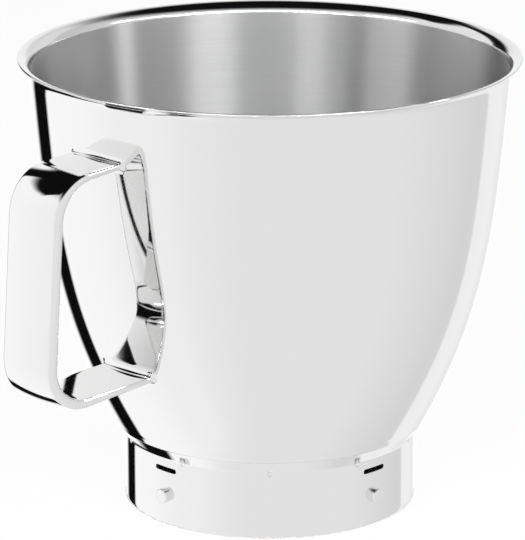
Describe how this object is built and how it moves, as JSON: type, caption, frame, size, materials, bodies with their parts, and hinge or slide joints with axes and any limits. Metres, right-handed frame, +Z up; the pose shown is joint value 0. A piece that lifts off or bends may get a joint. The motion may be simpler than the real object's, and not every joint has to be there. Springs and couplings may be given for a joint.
{
  "type": "stand mixer bowl",
  "caption": "Stainless steel stand mixer bowl with a flared lip, a strap handle welded to its side and a bayonet foot collar with slots and pins.",
  "frame": {"origin": "on the bowl's axis, level with the foot that the collar stands on", "axes": "+Z up along the bowl's axis, -X towards the handle"},
  "size_m": [0.2622, 0.226, 0.2063],
  "materials": {
    "bowl_steel": "mirror polished outside, brushed round the inside",
    "collar_steel": "mirror polished outside",
    "handle_steel": "mirror polished",
    "pin_steel": "polished"
  },
  "bodies": {
    "root": {"bowl_shell": "bowl_steel", "foot_collar": "collar_steel", "handle": "handle_steel", "bayonet_pin_1": "pin_steel", "bayonet_pin_2": "pin_steel", "bayonet_pin_3": "pin_steel", "bayonet_pin_4": "pin_steel"}
  },
  "joints": []
}
